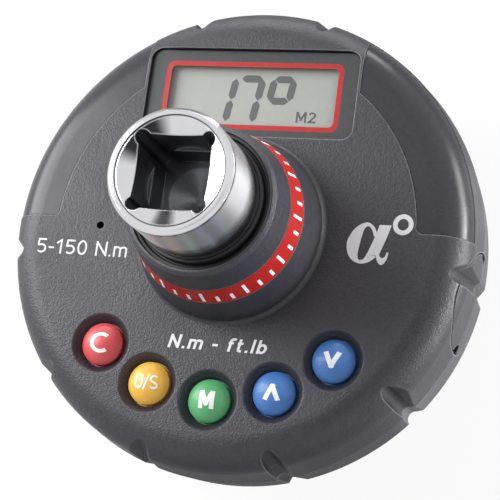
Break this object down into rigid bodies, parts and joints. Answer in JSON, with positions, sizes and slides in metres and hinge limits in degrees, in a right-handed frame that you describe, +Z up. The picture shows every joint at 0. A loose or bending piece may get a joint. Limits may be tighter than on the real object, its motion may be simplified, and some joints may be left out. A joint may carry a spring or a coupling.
{
  "type": "torque angle gauge",
  "caption": "Round digital torque and angle adapter with a square drive through its axis, a display, coloured keys, light windows and a battery hatch in the rim.",
  "frame": {"origin": "on the drive axis at the tip of the male square", "axes": "+Z up along the drive axis to the female square, +Y from the axis to the display, +X to the reader's right"},
  "size_m": [0.089, 0.089, 0.0794],
  "materials": {
    "cover_plastic": "fine grained charcoal moulding",
    "seal_rubber": "matt black rubber",
    "screw_steel": "zinc plated",
    "spring_steel": "phosphated spring steel",
    "band_red": "smooth red band",
    "shaft_chrome": "polished chrome plate",
    "ball_steel": "polished steel ball",
    "bush_plastic": "natural moulding",
    "gauge_foil": "polyimide foil",
    "lens_clear": "clear polycarbonate with printed border",
    "lcd_glass": "reflective display glass",
    "holder_white": "white moulding",
    "board_green": "solder masked laminate",
    "chip_black": "black moulding",
    "led_white": "clear package",
    "window_smoke": "smooth smoked window",
    "key_red": "smooth domed key",
    "key_amber": "smooth domed key",
    "key_green": "smooth domed key",
    "key_blue": "smooth domed key",
    "cell_wrap": "printed sleeve, bare of words",
    "contact_plate": "nickel plated spring sheet"
  },
  "bodies": {
    "housing": {"front_cover": "cover_plastic", "rear_cover": "cover_plastic", "case_gasket": "seal_rubber", "case_screws": "screw_steel", "red_band": "band_red", "shaft_seal": "seal_rubber", "drive_shaft": "shaft_chrome", "lock_bush": "bush_plastic", "back_bush": "bush_plastic", "retaining_ring": "spring_steel", "strain_gauges": "gauge_foil", "gauge_flex": "gauge_foil", "detent_spring": "spring_steel", "display_lens": "lens_clear", "lcd_panel": "lcd_glass", "lcd_holder": "holder_white", "contact_strips": "seal_rubber", "main_board": "board_green", "board_screws": "screw_steel", "controller_chip": "chip_black", "angle_sensor": "chip_black", "buzzer": "chip_black", "signal_leds": "led_white", "left_light_window": "window_smoke", "right_light_window": "window_smoke", "key_switches": "chip_black", "battery_cell": "cell_wrap", "battery_sleeve": "bush_plastic", "inner_contact": "contact_plate"},
    "key_clear": {"key_clear": "key_red", "plunger_clear": "chip_black"},
    "key_unit": {"key_unit": "key_amber", "plunger_unit": "chip_black"},
    "key_memory": {"key_memory": "key_green", "plunger_memory": "chip_black"},
    "key_up": {"key_up": "key_blue", "plunger_up": "chip_black"},
    "key_down": {"key_down": "key_blue", "plunger_down": "chip_black"},
    "battery_door": {"battery_door": "cover_plastic", "door_seal": "seal_rubber", "outer_contact": "contact_plate"},
    "detent_ball": {"detent_ball": "ball_steel"}
  },
  "joints": [
    {"name": "key_clear_press", "type": "slide", "parent": "housing", "child": "key_clear", "axis": [0, 0, -1], "range_m": [0, 0.0006], "stiffness_N_per_m": 2500, "springref_m": -0.0004},
    {"name": "key_unit_press", "type": "slide", "parent": "housing", "child": "key_unit", "axis": [0, 0, -1], "range_m": [0, 0.0006], "stiffness_N_per_m": 2500, "springref_m": -0.0004},
    {"name": "key_memory_press", "type": "slide", "parent": "housing", "child": "key_memory", "axis": [0, 0, -1], "range_m": [0, 0.0006], "stiffness_N_per_m": 2500, "springref_m": -0.0004},
    {"name": "key_up_press", "type": "slide", "parent": "housing", "child": "key_up", "axis": [0, 0, -1], "range_m": [0, 0.0006], "stiffness_N_per_m": 2500, "springref_m": -0.0004},
    {"name": "key_down_press", "type": "slide", "parent": "housing", "child": "key_down", "axis": [0, 0, -1], "range_m": [0, 0.0006], "stiffness_N_per_m": 2500, "springref_m": -0.0004},
    {"name": "battery_door_pull", "type": "slide", "parent": "housing", "child": "battery_door", "axis": [0.9816, -0.1908, 0], "range_m": [0, 0.03]},
    {"name": "detent_ball_press", "type": "slide", "parent": "housing", "child": "detent_ball", "axis": [-1, 0, 0], "range_m": [0, 0.0008], "stiffness_N_per_m": 4000, "springref_m": -0.001, "deforming": ["detent_spring"]}
  ]
}
